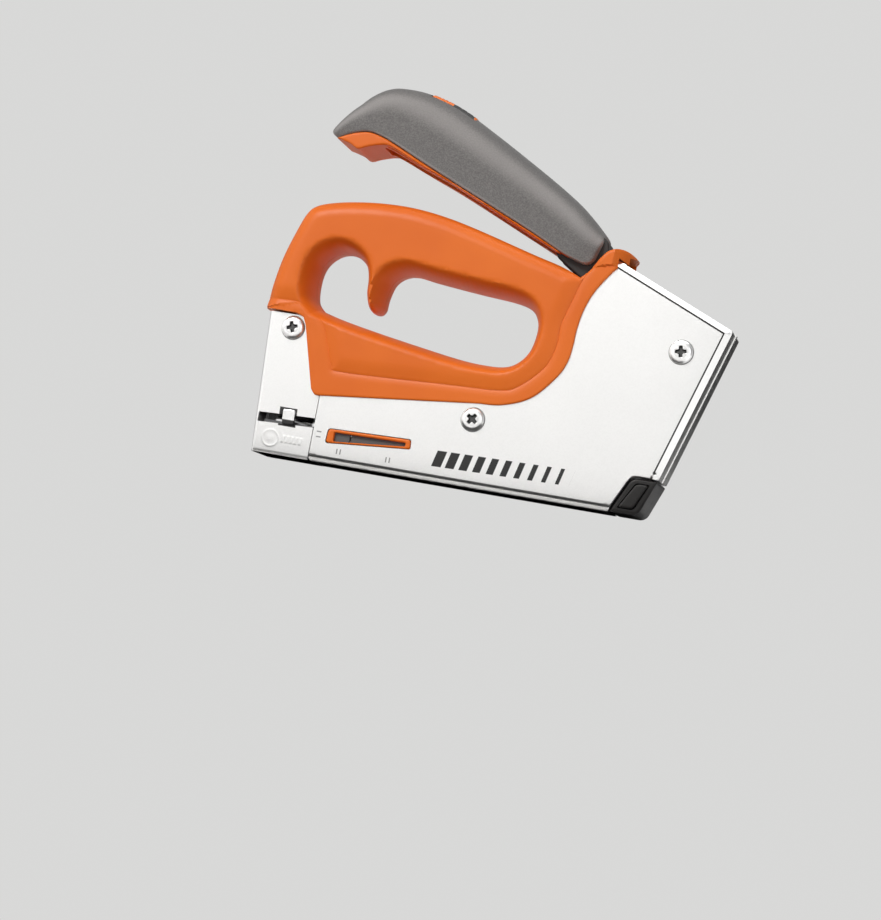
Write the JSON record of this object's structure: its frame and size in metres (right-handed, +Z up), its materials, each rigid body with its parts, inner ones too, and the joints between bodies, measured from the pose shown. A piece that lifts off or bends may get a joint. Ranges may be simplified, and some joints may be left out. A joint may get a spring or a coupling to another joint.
{
  "type": "staple gun",
  "caption": "Forward-action hand staple gun: plated steel body, moulded D-shaped grip, long squeeze lever held open above it, pull-out magazine at the foot.",
  "frame": {"origin": "centre of the footprint, at the level of the base that rests on the work", "axes": "+Z up from the base, +X towards the rear of the tool (the nose points to -X), +Y towards the tool's right side"},
  "size_m": [0.1968, 0.0326, 0.1627],
  "materials": {
    "plated_steel": "satin nickel-chrome plate on pressed steel, bright on the rolled edges",
    "orange_moulding": "semi-gloss moulded orange nylon",
    "grey_soft_cover": "matt soft-touch overmould with a fine pebble grain",
    "dark_moulding": "dark grey moulded plastic with a low sheen",
    "rubber_stop": "matt black rubber",
    "hardened_steel": "blackened hardened steel with oil film",
    "spring_steel": "drawn spring wire",
    "staple_wire": "galvanised staple wire",
    "zinc_steel": "bright zinc plate"
  },
  "bodies": {
    "frame": {"housing_left": "plated_steel", "housing_right": "plated_steel", "grip_left": "orange_moulding", "grip_right": "orange_moulding", "window_bezel_left": "orange_moulding", "window_bezel_right": "orange_moulding", "nose_cover": "plated_steel", "nose_guide": "hardened_steel", "nose_lug": "plated_steel", "nose_screw_left": "zinc_steel", "nose_screw_right": "zinc_steel", "middle_screw": "zinc_steel", "rear_screw": "zinc_steel", "middle_nut": "zinc_steel", "rear_nut": "zinc_steel", "fulcrum_bush": "zinc_steel", "rear_spacer": "zinc_steel", "lever_pin": "zinc_steel", "power_spring": "spring_steel", "spring_seat": "zinc_steel", "bumper": "rubber_stop", "magazine_channel": "zinc_steel", "staple_rail": "zinc_steel", "staple_strip": "staple_wire"},
    "lever": {"lever_core": "orange_moulding", "lever_cover": "grey_soft_cover", "lever_badge": "orange_moulding", "lever_boot": "dark_moulding", "lever_fork": "hardened_steel", "lever_roller": "zinc_steel", "roller_pin": "zinc_steel", "lever_rivet_1": "zinc_steel", "lever_rivet_2": "zinc_steel"},
    "cocking_lever": {"cocking_lever": "hardened_steel"},
    "striker": {"striker_carrier": "hardened_steel", "striker_blade": "hardened_steel"},
    "magazine": {"magazine_rod": "zinc_steel", "magazine_cap": "dark_moulding", "pusher_spring": "spring_steel"},
    "pusher": {"pusher": "zinc_steel"},
    "catch_left": {"catch_left": "dark_moulding"},
    "catch_right": {"catch_right": "dark_moulding"}
  },
  "joints": [
    {"name": "lever_squeeze", "type": "hinge", "parent": "frame", "child": "lever", "pos_m": [0.0495, 0, 0.0902], "axis": [0, -1, 0], "range_deg": [0, 7.4], "stiffness_Nm_per_rad": 8, "springref_deg": -1.15},
    {"name": "cocking_lever_turn", "type": "hinge", "parent": "frame", "child": "cocking_lever", "pos_m": [-0.0008, 0, 0.0278], "axis": [0, 1, 0], "range_deg": [0, 8.1]},
    {"name": "striker_lift", "type": "slide", "parent": "frame", "child": "striker", "axis": [0, 0, 1], "range_m": [0, 0.0119], "deforming": ["power_spring"]},
    {"name": "magazine_slide", "type": "slide", "parent": "frame", "child": "magazine", "axis": [1, 0, 0], "range_m": [0, 0.11]},
    {"name": "pusher_slide", "type": "slide", "parent": "magazine", "child": "pusher", "axis": [1, 0, 0], "range_m": [0, 0.078], "stiffness_N_per_m": 30, "springref_m": -0.02, "deforming": ["pusher_spring"]},
    {"name": "catch_left_press", "type": "slide", "parent": "magazine", "child": "catch_left", "axis": [0, 1, 0], "range_m": [0, 0.0012], "stiffness_N_per_m": 600},
    {"name": "catch_right_press", "type": "slide", "parent": "magazine", "child": "catch_right", "axis": [0, -1, 0], "range_m": [0, 0.0012], "stiffness_N_per_m": 600}
  ],
  "couplings": [
    {"joint": "cocking_lever_turn", "follows": "lever_squeeze", "ratio": 1.085},
    {"joint": "striker_lift", "follows": "lever_squeeze", "m_per_rad": 0.0911}
  ]
}
